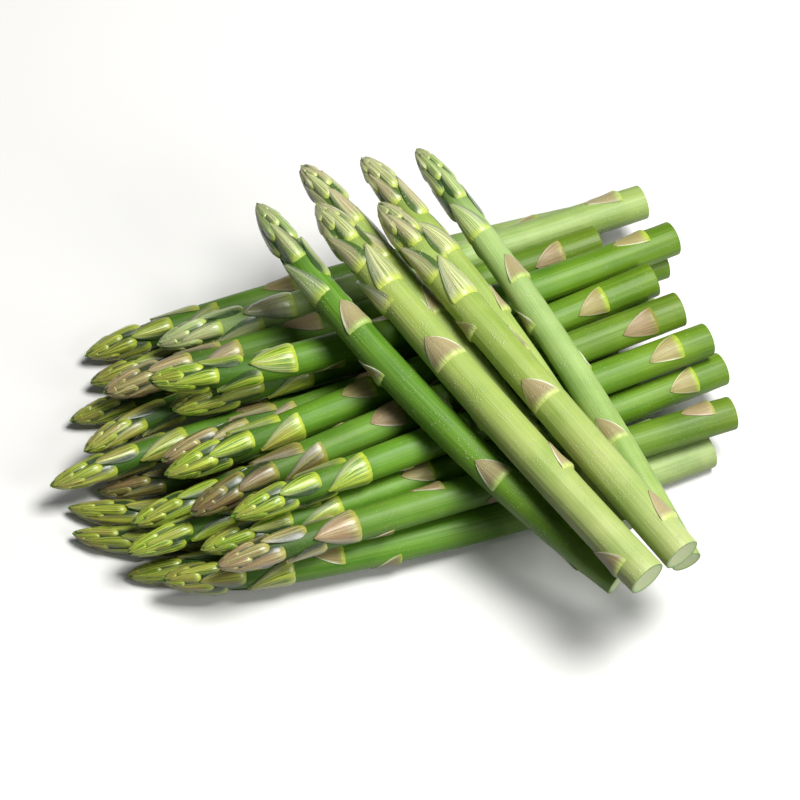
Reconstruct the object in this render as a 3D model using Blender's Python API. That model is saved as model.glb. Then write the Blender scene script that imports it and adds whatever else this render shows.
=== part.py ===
"""A bundle of green asparagus, lying on a flat surface.

Twenty-two spears lie one way in a low heap, tips to the left, and six more cross on top of them.
Every spear is one solid: a tapering stem, cut square at the butt, with its scales grown out of it.
The heap is laid by a rule: each spear has a wanted place, and spears that meet push each other apart.

The row positions below are in millimetres. The finished model is in metres, +Z up, with its origin
on the surface, under the middle of the bundle.
"""

import math
import random
from collections import namedtuple

import bmesh
import bpy
import numpy as np
from mathutils import Matrix, Vector

MM = 0.001
BUNDLE_NAME = "asparagus_bundle"

# Headings in degrees from +X, from tip to butt, of the two groups.
LOW_HEADING = 20.0
CROSS_HEADING = -48.0

# The stem. Its radius and its outer limit, scales included, are shares of the spear's own radius,
# listed against the distance from the tip in millimetres.
STEM_SIDES = 8
TAPER_AT = (0.0, 1.5, 4.0, 8.0, 13.0, 19.0, 26.0, 34.0, 50.0, 90.0, 130.0)
STEM_SHARE = (0.05, 0.15, 0.28, 0.44, 0.57, 0.67, 0.74, 0.81, 0.91, 0.97, 1.0)
OUTER_SHARE = (0.10, 0.30, 0.50, 0.72, 0.88, 0.98, 1.02, 1.03, 1.04, 1.06, 1.06)
STEM_RINGS_AT = (0.0, 4.0, 11.0, 22.0, 40.0, 68.0, 104.0, 140.0)
STEM_RINGS_PAST = 2
HOOK_LENGTH = 50.0

# The scales: tight on the head, then single bracts down the stem, in one spiral. The bracts are at
# these shares of the way from the first to the last.
HEAD_SCALES = 12
FIRST_SCALE_AT = 6.0
FIRST_STEP = 2.6
STEP_GROWTH = 1.11
FIRST_BRACT_AT = 72.0
BRACT_WANDER = 4.0
BRACT_SHARES = (0.0, 0.17, 0.38, 0.66, 1.0)
TURN_PER_SCALE = 137.5
TURN_WANDER = 7.0
SCALE_LENGTH = 14.0
SCALE_REACH = 0.92
SCALE_HALF_ANGLE = 56.0
BRACT_LENGTH = 12.0
BRACT_HALF_ANGLE = 44.0
SCALE_SHOULDER = 0.25
# Distances from the axis of a scale's corners, as shares of the stem's radius there.
SCALE_FOOT = 0.88
SCALE_POINT = 1.02
SCALE_ROOT = 0.4
SCALE_FLANK = 0.92
SCALE_SEED = 28

# How the heap settles. The underside of a stem that lies on the surface is pressed flat a little.
SAMPLES = 55
SETTLE_PASSES = 200
CALM_PASSES = 100
CLEARANCE = 0.45
PRESSED = 0.2
PULL_ACROSS = 0.08
PULL_HEIGHT = 0.05
SINK = 0.03
STIFFNESS = 0.6
LOOK_AHEAD = 0.01

# The block that presses the undersides flat, in metres, and how near the surface a spear is, in its
# own radii, to be pressed.
CUTTER_SIZE = (0.5, 0.5, 0.05)
NEAR_SURFACE = 2.0
MERGE_DISTANCE = 0.00002
SHARP_ANGLE = 50.0

SpearPlan = namedtuple(
    "SpearPlan",
    "name heading along tip mid butt hook tip_height butt_height length radius last facing tone",
)

# Wanted places: how far along the group's heading the tip is, how far across it the tip, the middle
# and the butt are, how far the tip hooks across, the heights of the ends, and the spear's size. Then
# come the last bract's distance from the butt and the way it faces, in degrees round the stem.
LOW_SPEARS = (
    ("01", -112, 59, 60, 54, 0, 6, 6, 213, 6.9, 20, 100, "green"),
    ("02", -86, 38, 42, 44, 0, 20, 19, 207, 7.2, 9, 55, "pale"),
    ("03", -114, 45, 42, 40, 0, 6, 6, 213, 6.2, 18, 90, "green"),
    ("04", -113, 27, 29, 30, -2, 19, 25, 208, 7.0, 16, 120, "purple"),
    ("05", -98, 10, 7, 15, 6, 36, 32, 219, 7.1, 11, 60, "green"),
    ("06", -91, 11, 10, 10, 0, 22, 16, 209, 6.4, 14, 140, "green"),
    ("07", -127, 33, 31, 28, 0, 6, 6, 213, 6.2, 15, 100, "green"),
    ("08", -128, 13, 15, 12, -8, 6, 6, 213, 6.2, 20, 60, "green"),
    ("09", -102, -10, -2, 4, -2, 20, 19, 208, 6.4, 17, 120, "purple"),
    ("10", -145, -1, 1, -2, 0, 6, 6, 214, 6.2, 15, 90, "green"),
    ("11", -127, -4, -16, -10, 5, 5, 12, 213, 6.2, 12, 80, "purple"),
    ("12", -104, -24, -12, -3, 0, 22, 32, 210, 7.0, 22, 120, "green"),
    ("13", -101, -43, -30, -21, -3, 31, 41, 211, 7.1, 12, 130, "purple"),
    ("14", -88, -57, -44, -32, 0, 34, 33, 205, 6.8, 13, 105, "green"),
    ("15", -140, -23, -32, -23, 12, 6, 6, 214, 6.2, 18, 100, "green"),
    ("16", -121, -36, -24, -14, 0, 17, 27, 225, 6.2, 15, 90, "green"),
    ("17", -142, -32, -45, -36, 12, 6, 6, 214, 6.2, 20, 110, "green"),
    ("18", -127, -46, -40, -32, 0, 19, 21, 213, 6.2, 14, 60, "green"),
    ("19", -101, -52, -50, -46, 0, 22, 14, 221, 6.8, 13, 120, "green"),
    ("20", -128, -51, -61, -54, 4, 6, 6, 214, 6.2, 16, 70, "green"),
    ("21", -99, -62, -65, -65, 0, 21, 21, 213, 6.8, 8, 65, "purple"),
    ("22", -118, -52, -67, -65, 4, 6, 6, 222, 7.2, 24, 280, "green"),
)
CROSS_SPEARS = (
    ("1", -71, -14, -16, -4, 0, 60, 36, 208, 6.9, 14, 250, "green"),
    ("2", -77, 20, 8, 3, 0, 60, 40, 172, 6.8, 20, 100, "pale"),
    ("3", -54, 5, -4, -11, 0, 70, 48, 206, 7.8, 8, 168, "pale"),
    ("4", -62, 36, 25, 10, 0, 60, 38, 186, 6.6, 18, 60, "pale"),
    ("5", -38, 25, 15, 5, 0, 68, 48, 191, 7.5, 12, 45, "pale"),
    ("6", -53, 61, 35, 4, 0, 60, 36, 210, 6.0, 13, 250, "green"),
)

# Skin colours, linear RGB.
TONES = {
    "green": (0.165, 0.330, 0.050),
    "pale": (0.330, 0.470, 0.125),
    "purple": (0.200, 0.255, 0.085),
}
SKIN_ROUGHNESS = 0.42


class Spear:
    """One spear's axis: straight seen from the side, gently bowed and hooked seen from above."""

    share = np.linspace(0.0, 1.0, SAMPLES)

    def __init__(self, plan):
        self.plan = plan
        turn = math.radians(plan.heading)
        self.along = np.array((math.cos(turn), math.sin(turn), 0.0))
        self.across = np.array((-math.sin(turn), math.cos(turn), 0.0))
        self.offsets = np.array((plan.tip, plan.mid, plan.butt), float)
        self.heights = np.array((plan.tip_height, plan.butt_height), float)
        self.wanted = (self.offsets.copy(), self.heights.copy())
        rise = plan.tip_height - plan.butt_height
        drift = plan.butt - plan.tip
        self.reach = math.sqrt(plan.length**2 - rise**2 - drift**2)
        from_tip = (1.0 - self.share) * plan.length
        self.radius = plan.radius * np.interp(from_tip, TAPER_AT, STEM_SHARE)
        self.outer = plan.radius * np.interp(from_tip, TAPER_AT, OUTER_SHARE)

    def points(self, share):
        """Points on the axis, with share 0 at the butt and 1 at the tip."""
        hook = np.clip(1.0 - (1.0 - share) * self.plan.length / HOOK_LENGTH, 0.0, 1.0) ** 2
        side = across_weights(share) @ self.offsets + self.plan.hook * hook
        ahead = self.plan.along + self.reach * (1.0 - share)
        height = height_weights(share) @ self.heights
        return np.outer(ahead, self.along) + np.outer(side, self.across) + np.outer(height, (0, 0, 1))

    def lowest_allowed(self):
        """How high each sample must be for the flat underside to be pressed onto the surface."""
        return self.radius * math.cos(math.pi / STEM_SIDES) - PRESSED

    def follow(self, pushes, touched):
        """Moves the ends and the middle to take up the pushes on the samples that are touched."""
        sideways = pushes @ self.across
        short = self.lowest_allowed() - self.points(self.share)[:, 2]
        upward = np.maximum(pushes[:, 2], np.where(short > 0, short, -np.inf))
        lifted = touched | (short > 0)
        self.offsets += best_fit(across_weights(self.share)[touched], sideways[touched])
        self.heights += best_fit(height_weights(self.share)[lifted], upward[lifted])
        short = self.lowest_allowed() - self.points(self.share)[:, 2]
        self.heights += max(0.0, short.max())


def across_weights(share):
    return np.stack((share * (2 * share - 1), 4 * share * (1 - share), (1 - share) * (1 - 2 * share)), 1)


def height_weights(share):
    return np.stack((share, 1 - share), 1)


def best_fit(weights, moves):
    size = weights.shape[1]
    if not len(moves):
        return np.zeros(size)
    return np.linalg.solve(weights.T @ weights + STIFFNESS * np.eye(size), weights.T @ moves)


def deepest_pushes(points, limits, owners):
    """For each sample, half the push that clears it of the spear it runs into furthest."""
    squares = (points**2).sum(1)
    apart = squares[:, None] + squares[None, :] - 2 * points @ points.T
    first, second = np.nonzero((apart < limits**2) & owners)
    gap = np.sqrt(np.maximum(apart[first, second], 1e-6))
    excess = limits[first, second] - gap
    order = np.argsort(excess)
    push = (points[first] - points[second]) * (0.5 * excess / gap)[:, None]
    pushes = np.zeros_like(points)
    pushes[first[order]] = push[order]
    touched = np.zeros(len(points), bool)
    touched[first] = True
    return pushes, touched


def settle(spears):
    """Lets the spears push each other apart while they are drawn to their wanted places."""
    outer = np.concatenate([spear.outer for spear in spears])
    limits = outer[:, None] + outer[None, :] + CLEARANCE
    owner = np.repeat(np.arange(len(spears)), SAMPLES)
    others = owner[:, None] != owner[None, :]
    for step in range(SETTLE_PASSES + CALM_PASSES):
        if step < SETTLE_PASSES:
            for spear in spears:
                spear.offsets += PULL_ACROSS * (spear.wanted[0] - spear.offsets)
                spear.heights += PULL_HEIGHT * (spear.wanted[1] - spear.heights) - SINK
        points = np.concatenate([spear.points(Spear.share) for spear in spears])
        pushes, touched = deepest_pushes(points, limits, others)
        for number, spear in enumerate(spears):
            own = slice(number * SAMPLES, (number + 1) * SAMPLES)
            spear.follow(pushes[own], touched[own])


def clear_scene():
    for item in list(bpy.data.objects):
        bpy.data.objects.remove(item, do_unlink=True)


def new_collection(name):
    collection = bpy.data.collections.new(name)
    bpy.context.scene.collection.children.link(collection)
    return collection


def skin_material(tone):
    material = bpy.data.materials.new("asparagus_" + tone)
    material.use_nodes = True
    shader = material.node_tree.nodes["Principled BSDF"]
    shader.inputs["Base Color"].default_value = (*TONES[tone], 1.0)
    shader.inputs["Roughness"].default_value = SKIN_ROUGHNESS
    shader.inputs["Metallic"].default_value = 0.0
    material.diffuse_color = (*TONES[tone], 1.0)
    return material


def ring_shares(length):
    """Where the stem's rings are: close together on the head, wider apart down to the butt."""
    past = np.linspace(STEM_RINGS_AT[-1], length, STEM_RINGS_PAST + 1)[1:]
    from_tip = np.concatenate((STEM_RINGS_AT, past))
    return 1.0 - from_tip[::-1] / length


def stem_mesh(spear, collection):
    """The stem as a tube with filled ends, one flat facet facing down."""
    plan = spear.plan
    share = ring_shares(plan.length)
    points = spear.points(share) * MM
    radii = plan.radius * MM * np.interp((1.0 - share) * plan.length, TAPER_AT, STEM_SHARE)
    curve = bpy.data.curves.new(plan.name + "_axis", "CURVE")
    curve.dimensions = "3D"
    curve.twist_mode = "Z_UP"
    curve.bevel_depth = 1.0
    curve.bevel_resolution = STEM_SIDES // 2 - 2
    curve.use_fill_caps = True
    spline = curve.splines.new("POLY")
    spline.points.add(len(points) - 1)
    for place, point, radius in zip(spline.points, points, radii):
        place.co = (*point, 1.0)
        place.radius = radius
        place.tilt = math.pi / STEM_SIDES
    guide = bpy.data.objects.new(plan.name + "_axis", curve)
    collection.objects.link(guide)
    bpy.context.view_layer.update()
    evaluated = guide.evaluated_get(bpy.context.evaluated_depsgraph_get())
    mesh = bpy.data.meshes.new_from_object(evaluated)
    mesh.name = plan.name
    bm = bmesh.new()
    bm.from_mesh(mesh)
    bmesh.ops.remove_doubles(bm, verts=bm.verts, dist=MERGE_DISTANCE)
    bmesh.ops.recalc_face_normals(bm, faces=bm.faces)
    bm.to_mesh(mesh)
    bm.free()
    stem = bpy.data.objects.new(plan.name, mesh)
    stem.matrix_world = guide.matrix_world
    collection.objects.link(stem)
    bpy.data.objects.remove(guide, do_unlink=True)
    bpy.data.curves.remove(curve)
    return stem


def scale_places(plan, rng):
    """Distance from the tip, length and half angle of every scale, from the tip to the butt."""
    places = []
    at = FIRST_SCALE_AT
    step = FIRST_STEP
    for _ in range(HEAD_SCALES):
        places.append((at, min(SCALE_LENGTH, SCALE_REACH * at), SCALE_HALF_ANGLE))
        at += step
        step *= STEP_GROWTH
    first = FIRST_BRACT_AT + rng.uniform(-BRACT_WANDER, BRACT_WANDER)
    last = plan.length - plan.last
    for share in BRACT_SHARES:
        places.append((first + share * (last - first), BRACT_LENGTH, BRACT_HALF_ANGLE))
    return places


def scale_mesh(spear, at, length, half_angle, turn):
    """One pointed scale, wide and raised near its foot, with its root sunk into the stem."""
    plan = spear.plan
    bm = bmesh.new()
    bmesh.ops.create_uvsphere(bm, u_segments=4, v_segments=2, radius=1.0)
    # The sphere's six corners become the foot, the point, the crest, the root and the two flanks.
    for vert in bm.verts:
        out, side, toward_tip = vert.co
        part = float(np.interp(toward_tip, (-1.0, 0.0, 1.0), (0.0, SCALE_SHOULDER, 1.0)))
        from_tip = at - part * length
        stem = plan.radius * float(np.interp(from_tip, TAPER_AT, STEM_SHARE))
        outer = plan.radius * float(np.interp(from_tip, TAPER_AT, OUTER_SHARE))
        angle = 0.0
        if toward_tip < -0.5:
            distance = SCALE_FOOT * stem
        elif toward_tip > 0.5:
            distance = SCALE_POINT * stem
        elif out > 0.5:
            distance = outer
        elif out < -0.5:
            distance = SCALE_ROOT * stem
        else:
            distance = SCALE_FLANK * stem
            angle = math.copysign(math.radians(half_angle), side)
        vert.co = surface_point(spear, from_tip, turn + angle, distance) * MM
    bmesh.ops.recalc_face_normals(bm, faces=bm.faces)
    mesh = bpy.data.meshes.new("scale")
    bm.to_mesh(mesh)
    bm.free()
    return mesh


def surface_point(spear, from_tip, angle, distance):
    """The point at an angle round the axis and a distance out from it."""
    share = 1.0 - from_tip / spear.plan.length
    here, ahead = spear.points(np.array((share, share + LOOK_AHEAD)))
    forward = Vector(ahead - here).normalized()
    side = forward.cross(Vector((0, 0, 1))).normalized()
    up = side.cross(forward)
    return Vector(here) + (side * math.cos(angle) + up * math.sin(angle)) * distance


def join_scales(stem, spear, rng):
    """Grows the scales in a spiral, from the last bract to the tip, and unites them with the stem."""
    scales = new_collection("scales")
    turn = math.radians(spear.plan.facing)
    for at, length, half_angle in reversed(scale_places(spear.plan, rng)):
        mesh = scale_mesh(spear, at, length, half_angle, turn)
        scales.objects.link(bpy.data.objects.new("scale", mesh))
        turn -= math.radians(TURN_PER_SCALE + rng.uniform(-TURN_WANDER, TURN_WANDER))
    union = stem.modifiers.new("grow_scales", "BOOLEAN")
    union.operation = "UNION"
    union.operand_type = "COLLECTION"
    union.collection = scales
    union.solver = "EXACT"
    bpy.context.view_layer.objects.active = stem
    bpy.ops.object.modifier_apply(modifier=union.name)
    for item in list(scales.objects):
        bpy.data.objects.remove(item, do_unlink=True)
    bpy.data.collections.remove(scales)


def surface_cutter(collection):
    """A block whose top is the surface: it presses the undersides that touch it flat."""
    bpy.ops.mesh.primitive_cube_add(size=1.0)
    cutter = bpy.context.object
    cutter.name = "surface_cutter"
    cutter.scale = CUTTER_SIZE
    cutter.location = (0.0, 0.0, -0.5 * CUTTER_SIZE[2])
    cutter.hide_render = True
    cutter.display_type = "WIRE"
    for owner in list(cutter.users_collection):
        owner.objects.unlink(cutter)
    collection.objects.link(cutter)
    return cutter


def press_flat(item, cutter):
    pressed = item.modifiers.new("press_flat", "BOOLEAN")
    pressed.operation = "DIFFERENCE"
    pressed.object = cutter
    pressed.solver = "EXACT"


def shade(item, material):
    item.data.materials.clear()
    item.data.materials.append(material)
    item.data.shade_smooth()
    item.data.set_sharp_from_angle(angle=math.radians(SHARP_ANGLE))


def spear_plans():
    low = [SpearPlan("spear_low_" + row[0], LOW_HEADING, *row[1:]) for row in LOW_SPEARS]
    cross = [SpearPlan("spear_cross_" + row[0], CROSS_HEADING, *row[1:]) for row in CROSS_SPEARS]
    return low + cross


def centre_on_origin(root, items):
    """Moves the whole bundle so that the middle of its footprint is over the origin."""
    corners = [item.matrix_world @ vert.co for item in items for vert in item.data.vertices]
    middle_x = 0.5 * (min(c.x for c in corners) + max(c.x for c in corners))
    middle_y = 0.5 * (min(c.y for c in corners) + max(c.y for c in corners))
    root.matrix_world = Matrix.Translation((-middle_x, -middle_y, 0.0)) @ root.matrix_world
    bpy.context.view_layer.update()


def build():
    clear_scene()
    bundle = new_collection(BUNDLE_NAME)
    cutters = new_collection("cutters")
    root = bpy.data.objects.new("bundle_origin", None)
    bundle.objects.link(root)
    cutter = surface_cutter(cutters)
    cutter.parent = root
    materials = {tone: skin_material(tone) for tone in TONES}
    rng = random.Random(SCALE_SEED)
    spears = [Spear(plan) for plan in spear_plans()]
    settle(spears)
    items = []
    for spear in spears:
        item = stem_mesh(spear, bundle)
        join_scales(item, spear, rng)
        shade(item, materials[spear.plan.tone])
        item.parent = root
        if spear.points(Spear.share)[:, 2].min() < NEAR_SURFACE * spear.plan.radius:
            press_flat(item, cutter)
        items.append(item)
    centre_on_origin(root, items)


build()
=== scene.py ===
import math
import random

import bmesh
import bpy
import numpy as np
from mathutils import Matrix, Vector


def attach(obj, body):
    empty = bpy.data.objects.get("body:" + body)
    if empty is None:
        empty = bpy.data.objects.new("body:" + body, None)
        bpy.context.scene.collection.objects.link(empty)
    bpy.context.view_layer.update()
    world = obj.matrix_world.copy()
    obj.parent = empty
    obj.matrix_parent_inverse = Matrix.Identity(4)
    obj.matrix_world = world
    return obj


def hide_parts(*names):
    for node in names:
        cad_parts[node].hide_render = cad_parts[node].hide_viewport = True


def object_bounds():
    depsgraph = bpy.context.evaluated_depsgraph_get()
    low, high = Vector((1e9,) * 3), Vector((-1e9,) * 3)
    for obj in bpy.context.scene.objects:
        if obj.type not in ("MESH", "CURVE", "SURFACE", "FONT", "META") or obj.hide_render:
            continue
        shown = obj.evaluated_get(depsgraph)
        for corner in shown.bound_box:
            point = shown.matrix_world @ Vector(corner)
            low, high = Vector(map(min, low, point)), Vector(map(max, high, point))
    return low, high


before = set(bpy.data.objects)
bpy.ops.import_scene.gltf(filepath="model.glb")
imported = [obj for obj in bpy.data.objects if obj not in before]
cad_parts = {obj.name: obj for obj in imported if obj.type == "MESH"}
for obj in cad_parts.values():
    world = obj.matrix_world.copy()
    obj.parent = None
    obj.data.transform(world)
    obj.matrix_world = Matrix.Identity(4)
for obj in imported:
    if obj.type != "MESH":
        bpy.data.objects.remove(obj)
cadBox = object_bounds()
mm = 0.001

# how the heap settles, in millimetres and degrees: the same values and rows as the CAD model's
heap = {
    "lowHeading": 20.0,  # from +X, tip to butt
    "crossHeading": -48.0,
    "samples": 55,  # points along a spear's axis
    "settlePasses": 200,
    "calmPasses": 100,  # the last ones only push the spears apart
    "clearance": 0.45,
    "pressed": 0.2,  # how flat the surface presses a stem that lies on it
    "stemSides": 8,  # of the CAD model's stems, which rest on a flat side
    "pullAcross": 0.08,  # share of the way back to where a spear wants to lie, each pass
    "pullHeight": 0.05,
    "sink": 0.03,
    "stiffness": 0.6,
    "hookLength": 50.0,
    "endDepth": 3.0,  # what counts as the cut end when the CAD model's place is read
}
# name, how far along the tip is, how far across the tip, the middle and the butt are, how far the
# tip hooks across, the heights of tip and butt, length, radius, how far the last bract is from the
# butt and the way it faces in degrees round the stem, and the look
lowRows = [
    ("01", -112, 59, 60, 54, 0, 6, 6, 213, 6.9, 20, 100, "green"),
    ("02", -86, 38, 42, 44, 0, 20, 19, 207, 7.2, 9, 55, "frosted"),
    ("03", -114, 45, 42, 40, 0, 6, 6, 213, 6.2, 18, 90, "green"),
    ("04", -113, 27, 29, 30, -2, 19, 25, 208, 7.0, 16, 120, "purple"),
    ("05", -98, 10, 7, 15, 6, 36, 32, 219, 7.1, 11, 60, "bright"),
    ("06", -91, 11, 10, 10, 0, 22, 16, 209, 6.4, 14, 140, "bright"),
    ("07", -127, 33, 31, 28, 0, 6, 6, 213, 6.2, 15, 100, "green"),
    ("08", -128, 13, 15, 12, -8, 6, 6, 213, 6.2, 20, 60, "green"),
    ("09", -102, -10, -2, 4, -2, 20, 19, 208, 6.4, 17, 120, "purple"),
    ("10", -145, -1, 1, -2, 0, 6, 6, 214, 6.2, 15, 90, "green"),
    ("11", -127, -4, -16, -10, 5, 5, 12, 213, 6.2, 12, 80, "dusky"),
    ("12", -104, -24, -12, -3, 0, 22, 32, 210, 7.0, 22, 120, "bright"),
    ("13", -101, -43, -30, -21, -3, 31, 41, 211, 7.1, 12, 130, "dusky"),
    ("14", -88, -57, -44, -32, 0, 34, 33, 205, 6.8, 13, 105, "bright"),
    ("15", -140, -23, -32, -23, 12, 6, 6, 214, 6.2, 18, 100, "green"),
    ("16", -121, -36, -24, -14, 0, 17, 27, 225, 6.2, 15, 90, "bright"),
    ("17", -142, -32, -45, -36, 12, 6, 6, 214, 6.2, 20, 110, "green"),
    ("18", -127, -46, -40, -32, 0, 19, 21, 213, 6.2, 14, 60, "bright"),
    ("19", -101, -52, -50, -46, 0, 22, 14, 221, 6.8, 13, 120, "bright"),
    ("20", -128, -51, -61, -54, 4, 6, 6, 214, 6.2, 16, 70, "green"),
    ("21", -99, -62, -65, -65, 0, 21, 21, 213, 6.8, 8, 65, "purple"),
    ("22", -118, -52, -67, -65, 4, 6, 6, 222, 7.2, 24, 280, "green"),
]
crossRows = [
    ("1", -71, -14, -16, -4, 0, 60, 36, 208, 6.9, 14, 250, "dewy"),
    ("2", -77, 20, 8, 3, 0, 60, 40, 172, 6.8, 20, 100, "pale"),
    ("3", -54, 5, -4, -11, 0, 70, 48, 206, 7.8, 8, 168, "pale"),
    ("4", -62, 36, 25, 10, 0, 60, 38, 186, 6.6, 18, 60, "pale"),
    ("5", -38, 25, 15, 5, 0, 68, 48, 191, 7.5, 12, 45, "pale"),
    ("6", -53, 61, 35, 4, 0, 60, 36, 210, 6.0, 13, 250, "frosted"),
]

# radii as shares of the spear's own radius, against the distance from the tip in millimetres
taper = {
    "at": (0.0, 1.5, 4.0, 8.0, 13.0, 19.0, 26.0, 34.0, 50.0, 90.0, 130.0),
    "stem": (0.05, 0.15, 0.28, 0.44, 0.57, 0.67, 0.74, 0.81, 0.91, 0.97, 1.0),
    "outer": (0.10, 0.30, 0.50, 0.72, 0.88, 0.98, 1.02, 1.03, 1.04, 1.06, 1.06),
}


def acrossWeights(share):
    tip = share * (2 * share - 1)
    mid = 4 * share * (1 - share)
    butt = (1 - share) * (1 - 2 * share)
    return np.stack((tip, mid, butt), 1)


def heightWeights(share):
    return np.stack((share, 1 - share), 1)


def bestFit(weights, moves):
    size = weights.shape[1]
    if not len(moves):
        return np.zeros(size)
    stiff = weights.T @ weights + heap["stiffness"] * np.eye(size)
    return np.linalg.solve(stiff, weights.T @ moves)


class Spear:  # the axis is bowed and hooked seen from above, and straight from the side
    share = np.linspace(0.0, 1.0, heap["samples"])

    def __init__(self, node, heading, row):
        self.node = node
        self.tipAlong, tip, mid, butt, self.hook = row[1:6]
        tipHeight, buttHeight, self.length, self.thick, self.last, self.facing, self.look = row[6:]
        turn = math.radians(heading)
        self.along = np.array((math.cos(turn), math.sin(turn), 0.0))
        self.across = np.array((-math.sin(turn), math.cos(turn), 0.0))
        self.offsets = np.array((tip, mid, butt), float)
        self.heights = np.array((tipHeight, buttHeight), float)
        self.wanted = (self.offsets.copy(), self.heights.copy())
        drop, drift = tipHeight - buttHeight, butt - tip
        self.reach = math.sqrt(self.length**2 - drop**2 - drift**2)
        fromTip = (1.0 - self.share) * self.length
        self.radius = self.thick * np.interp(fromTip, taper["at"], taper["stem"])
        self.outer = self.thick * np.interp(fromTip, taper["at"], taper["outer"])

    def points(self, share):
        hook = np.clip(1.0 - (1.0 - share) * self.length / heap["hookLength"], 0.0, 1.0) ** 2
        side = acrossWeights(share) @ self.offsets + self.hook * hook
        ahead = self.tipAlong + self.reach * (1.0 - share)
        height = heightWeights(share) @ self.heights
        flat = np.outer(ahead, self.along) + np.outer(side, self.across)
        return flat + np.outer(height, (0, 0, 1))

    def lowestAllowed(self):
        return self.radius * math.cos(math.pi / heap["stemSides"]) - heap["pressed"]

    def follow(self, pushes, touched):
        sideways = pushes @ self.across
        short = self.lowestAllowed() - self.points(self.share)[:, 2]
        upward = np.maximum(pushes[:, 2], np.where(short > 0, short, -np.inf))
        lifted = touched | (short > 0)
        self.offsets += bestFit(acrossWeights(self.share)[touched], sideways[touched])
        self.heights += bestFit(heightWeights(self.share)[lifted], upward[lifted])
        short = self.lowestAllowed() - self.points(self.share)[:, 2]
        self.heights += max(0.0, short.max())


def deepestPushes(points, limits, others):  # the deepest overlap at each point, and its push
    squares = (points**2).sum(1)
    apart = squares[:, None] + squares[None, :] - 2 * points @ points.T
    first, second = np.nonzero((apart < limits**2) & others)
    gap = np.sqrt(np.maximum(apart[first, second], 1e-6))
    excess = limits[first, second] - gap
    order = np.argsort(excess)
    push = (points[first] - points[second]) * (0.5 * excess / gap)[:, None]
    pushes = np.zeros_like(points)
    pushes[first[order]] = push[order]
    touched = np.zeros(len(points), bool)
    touched[first] = True
    return pushes, touched


def settleHeap(spears):
    outer = np.concatenate([spear.outer for spear in spears])
    limits = outer[:, None] + outer[None, :] + heap["clearance"]
    owner = np.repeat(np.arange(len(spears)), heap["samples"])
    others = owner[:, None] != owner[None, :]
    for step in range(heap["settlePasses"] + heap["calmPasses"]):
        if step < heap["settlePasses"]:
            for spear in spears:
                spear.offsets += heap["pullAcross"] * (spear.wanted[0] - spear.offsets)
                lift = heap["pullHeight"] * (spear.wanted[1] - spear.heights) - heap["sink"]
                spear.heights += lift
        points = np.concatenate([spear.points(Spear.share) for spear in spears])
        pushes, touched = deepestPushes(points, limits, others)
        for number, spear in enumerate(spears):
            own = slice(number * heap["samples"], (number + 1) * heap["samples"])
            spear.follow(pushes[own], touched[own])


def findShift(spears):  # how far the CAD bundle was moved to centre it, from its cut ends
    moves = []
    for spear in spears:
        corners = np.array([v.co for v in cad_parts[spear.node].data.vertices]) / mm
        reach = corners @ spear.along
        end = corners[reach > reach.max() - heap["endDepth"]]
        moves.append(0.5 * (end.min(0) + end.max(0)) - spear.points(np.array((0.0,)))[0])
    moves = np.array(moves)
    shift = np.median(moves, 0)
    print("shift", shift.round(2), "spread", np.abs(moves - shift).max(0).round(2))
    return np.array((shift[0], shift[1], 0.0))


spears = [Spear("spear_low_" + row[0], heap["lowHeading"], row) for row in lowRows]
spears += [Spear("spear_cross_" + row[0], heap["crossHeading"], row) for row in crossRows]
settleHeap(spears)
shift = findShift(spears)
print("heap settled:", len(spears), "spears")


def deselectAll():
    if bpy.context.object and bpy.context.object.mode != "OBJECT":
        bpy.ops.object.mode_set(mode="OBJECT")
    bpy.ops.object.select_all(action="DESELECT")


def selectVerts(piece, test):  # in edit mode, by place
    work = bmesh.from_edit_mesh(piece.data)
    for item in (*work.faces, *work.edges, *work.verts):
        item.select = False
    for vert in work.verts:
        vert.select = test(vert.co)
    work.select_flush(True)
    bmesh.update_edit_mesh(piece.data)


# a scale, modelled flat: 2 wide and 1 long, its base at y = 0 and its point at y = 1
scaleLeaf = {
    "headColumns": 4,
    "bractColumns": 6,
    "leastWidth": 0.001,
    "rowAt": (0.0, 0.03, 0.08, 0.15, 0.25, 0.38, 0.52, 0.66, 0.79, 0.90, 1.0),
    "headWidth": (0.50, 0.68, 0.82, 0.94, 1.0, 0.98, 0.86, 0.68, 0.47, 0.26, 0.0),
    "bractWidth": (0.94, 1.0, 1.0, 0.98, 0.93, 0.84, 0.71, 0.55, 0.38, 0.20, 0.0),
}


def modelLeaf(name, columns, widths):  # a shaped grid with a floor and walls under it
    deselectAll()
    rows = len(scaleLeaf["rowAt"])
    bpy.ops.mesh.primitive_grid_add(x_subdivisions=columns, y_subdivisions=rows - 1, size=2.0)
    leaf = bpy.context.object
    leaf.name = name
    bpy.ops.object.mode_set(mode="EDIT")
    bpy.ops.mesh.select_mode(type="VERT")
    for number in range(rows):
        level = -1.0 + 2.0 * number / (rows - 1)
        selectVerts(leaf, lambda co: abs(co.y - level) < 0.01 and co.z < 0.5)
        width = max(widths[number], scaleLeaf["leastWidth"])
        bpy.ops.transform.resize(value=(width, 1.0, 1.0))
        bpy.ops.transform.translate(value=(0.0, scaleLeaf["rowAt"][number] - level, 1.0))
    bpy.ops.mesh.merge(type="CENTER")  # the last row is the point
    bpy.ops.mesh.select_mode(type="EDGE")
    bpy.ops.mesh.select_all(action="DESELECT")
    bpy.ops.mesh.select_non_manifold()
    bpy.ops.mesh.extrude_region_move(TRANSFORM_OT_translate={"value": (0.0, 0.0, -1.0)})
    bpy.ops.mesh.edge_face_add()
    bpy.ops.mesh.select_all(action="SELECT")
    bpy.ops.mesh.normals_make_consistent(inside=False)
    bpy.ops.transform.translate(value=(0.0, 0.0, -1.0))
    bpy.ops.object.mode_set(mode="OBJECT")
    return leaf


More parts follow.
